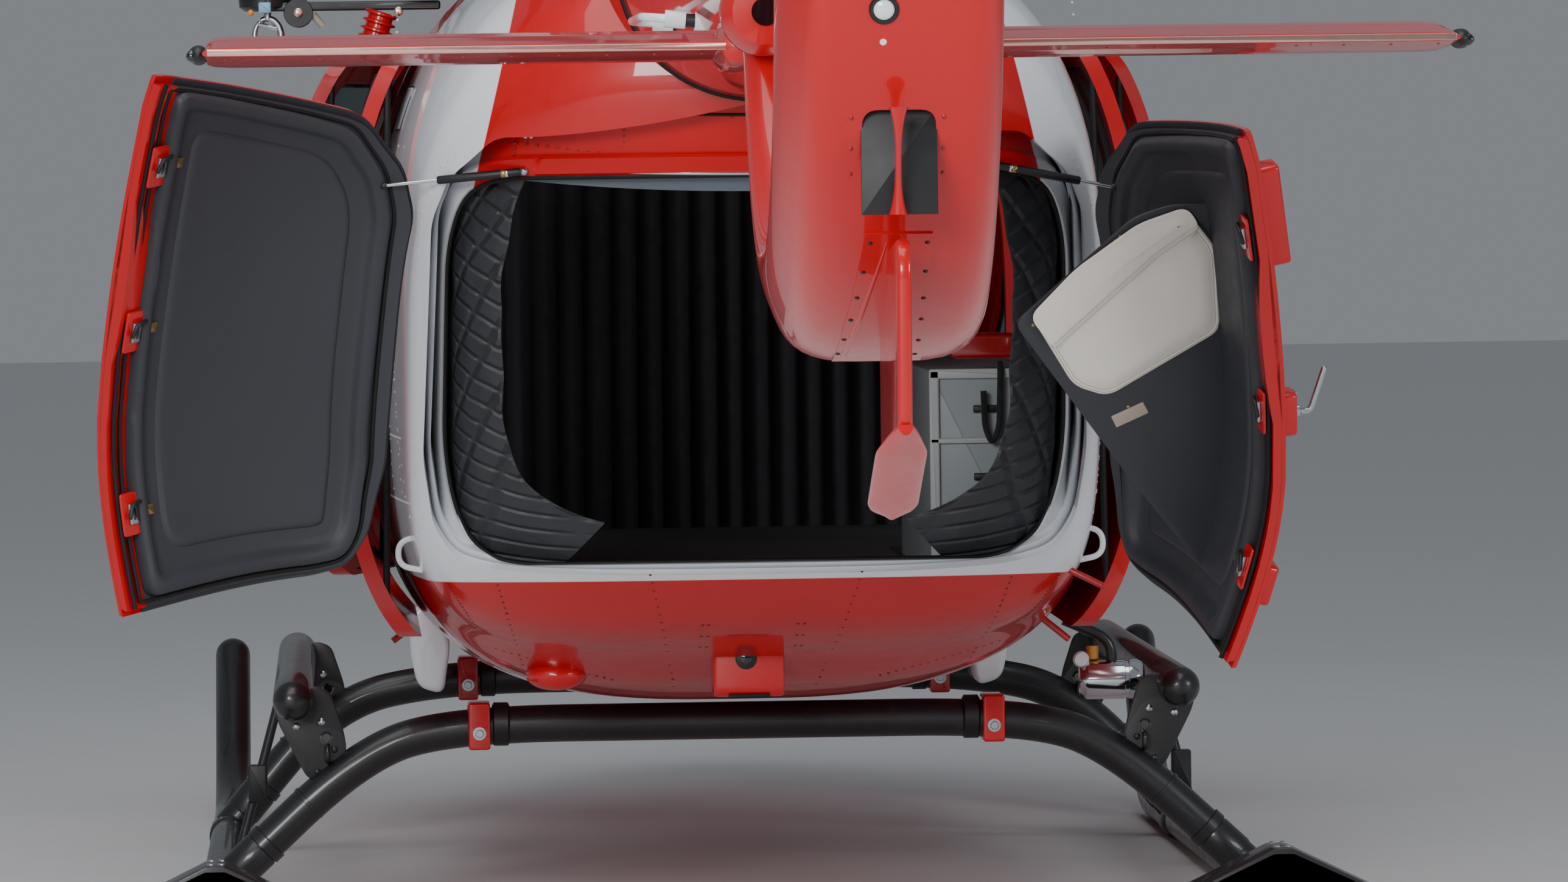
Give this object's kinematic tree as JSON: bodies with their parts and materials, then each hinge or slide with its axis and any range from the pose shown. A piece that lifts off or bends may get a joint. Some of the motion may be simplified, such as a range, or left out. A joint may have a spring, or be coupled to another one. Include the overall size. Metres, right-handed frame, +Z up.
{
  "type": "helicopter",
  "caption": "Light twin-engine rescue helicopter on skids, with main rotor, shrouded tail rotor, hollow cabin, sliding side doors and open clamshell doors at the rear.",
  "frame": {"origin": "middle of the bounding box at ground level, under the skids", "axes": "+Z up, -Y towards the nose, +Y towards the tail, +X to port"},
  "size_m": [7.8826, 12.0122, 4],
  "materials": {
    "red_paint": "gloss",
    "red_composite": "gloss",
    "white_paint": "gloss",
    "frame_grey": "satin",
    "grey_paint": "satin",
    "black_paint": "satin",
    "black_plastic": "matte",
    "door_trim": "grained",
    "pouch_fabric": "woven",
    "seat_fabric": "woven",
    "blade_composite": "satin",
    "steel": "brushed",
    "glass": "tinted"
  },
  "bodies": {
    "airframe": {"nose_shell": "red_paint", "roof_shell": "red_paint", "belly_shell": "red_paint", "side_frame_port": "white_paint", "side_frame_starboard": "white_paint", "rear_frame": "frame_grey", "cabin_floor": "grey_paint", "windscreen_port": "glass", "windscreen_starboard": "glass", "chin_window_port": "glass", "chin_window_starboard": "glass", "rear_window_port": "glass", "rear_window_starboard": "glass", "sliding_door_port": "red_paint", "sliding_door_starboard": "red_paint", "sliding_glass_port": "glass", "sliding_glass_starboard": "glass", "engine_cowl": "white_paint", "engines": "steel", "tail_fin": "red_composite", "stabilizer": "red_composite", "tail_boom": "red_composite", "tail_gearbox": "grey_paint", "tail_bumper": "red_paint", "antenna_rail": "white_paint", "crosstube_front": "black_paint", "crosstube_rear": "black_paint", "skid_port": "black_paint", "skid_starboard": "black_paint", "step_beam_port": "black_paint", "step_beam_starboard": "black_paint", "searchlight": "steel", "belly_sensor": "black_plastic", "rescue_hoist": "black_paint", "pilot_seat_port": "seat_fabric", "pilot_seat_starboard": "seat_fabric", "instrument_panel": "black_plastic", "medical_cabinet": "grey_paint"},
    "main_rotor": {"rotor_head": "steel", "main_blade_1": "blade_composite", "main_blade_2": "blade_composite", "main_blade_3": "blade_composite", "main_blade_4": "blade_composite"},
    "tail_rotor_disc": {"tail_rotor": "blade_composite"},
    "cockpit_door_port_leaf": {"cockpit_door_port": "red_paint", "cockpit_glass_port": "glass"},
    "cockpit_door_starboard_leaf": {"cockpit_door_starboard": "red_paint", "cockpit_glass_starboard": "glass"},
    "clamshell_port_leaf": {"clamshell_door_port": "door_trim"},
    "clamshell_starboard_leaf": {"clamshell_door_starboard": "door_trim", "door_pouch": "pouch_fabric"},
    "strut_body_port": {"strut_cylinder_port": "black_paint"},
    "strut_body_starboard": {"strut_cylinder_starboard": "black_paint"},
    "strut_piston_port": {"strut_rod_port": "steel"},
    "strut_piston_starboard": {"strut_rod_starboard": "steel"}
  },
  "joints": [
    {"name": "main_rotor_turn", "type": "hinge", "parent": "airframe", "child": "main_rotor", "pos_m": [0, -2.09, 3.3], "axis": [0, -0.0872, 0.9962], "continuous": true},
    {"name": "tail_rotor_turn", "type": "hinge", "parent": "airframe", "child": "tail_rotor_disc", "pos_m": [0, 5.06, 2.2], "axis": [1, 0, 0], "continuous": true},
    {"name": "cockpit_door_port_hinge", "type": "hinge", "parent": "airframe", "child": "cockpit_door_port_leaf", "pos_m": [0.772, -4.544, 1], "axis": [0, 0, -1], "range_deg": [-12, 58]},
    {"name": "cockpit_door_starboard_hinge", "type": "hinge", "parent": "airframe", "child": "cockpit_door_starboard_leaf", "pos_m": [-0.772, -4.544, 1], "axis": [0, 0, 1], "range_deg": [-23, 47]},
    {"name": "clamshell_port_hinge", "type": "hinge", "parent": "airframe", "child": "clamshell_port_leaf", "pos_m": [0.745, 0.282, 1.25], "axis": [0.1047, -0.4124, -0.905], "range_deg": [-133, 0]},
    {"name": "clamshell_starboard_hinge", "type": "hinge", "parent": "airframe", "child": "clamshell_starboard_leaf", "pos_m": [-0.745, 0.282, 1.25], "axis": [0.1047, 0.4124, 0.905], "range_deg": [-99, 34]},
    {"name": "strut_port_swing", "type": "hinge", "parent": "airframe", "child": "strut_body_port", "pos_m": [0.499, 0.5937, 1.7], "axis": [-0.2223, -0.9364, 0.2715], "range_deg": [-105.22, 0.2]},
    {"name": "strut_port_stroke", "type": "slide", "parent": "strut_body_port", "child": "strut_piston_port", "axis": [0.9635, -0.2535, -0.0856], "range_m": [-0.10237, 0.0002]},
    {"name": "strut_starboard_swing", "type": "hinge", "parent": "airframe", "child": "strut_body_starboard", "pos_m": [-0.499, 0.5937, 1.7], "axis": [0.0072, 0.8127, -0.5827], "range_deg": [-75.81, 26.17]},
    {"name": "strut_starboard_stroke", "type": "slide", "parent": "strut_body_starboard", "child": "strut_piston_starboard", "axis": [-0.9733, -0.1281, -0.1907], "range_m": [-0.06088, 0.02104]}
  ],
  "couplings": [
    {"joint": "strut_port_swing", "follows": "clamshell_port_hinge", "ratio": 0.78961},
    {"joint": "strut_port_stroke", "follows": "clamshell_port_hinge", "m_per_rad": 0.044013},
    {"joint": "strut_starboard_swing", "follows": "clamshell_starboard_hinge", "ratio": 0.76374},
    {"joint": "strut_starboard_stroke", "follows": "clamshell_starboard_hinge", "m_per_rad": 0.035117}
  ]
}
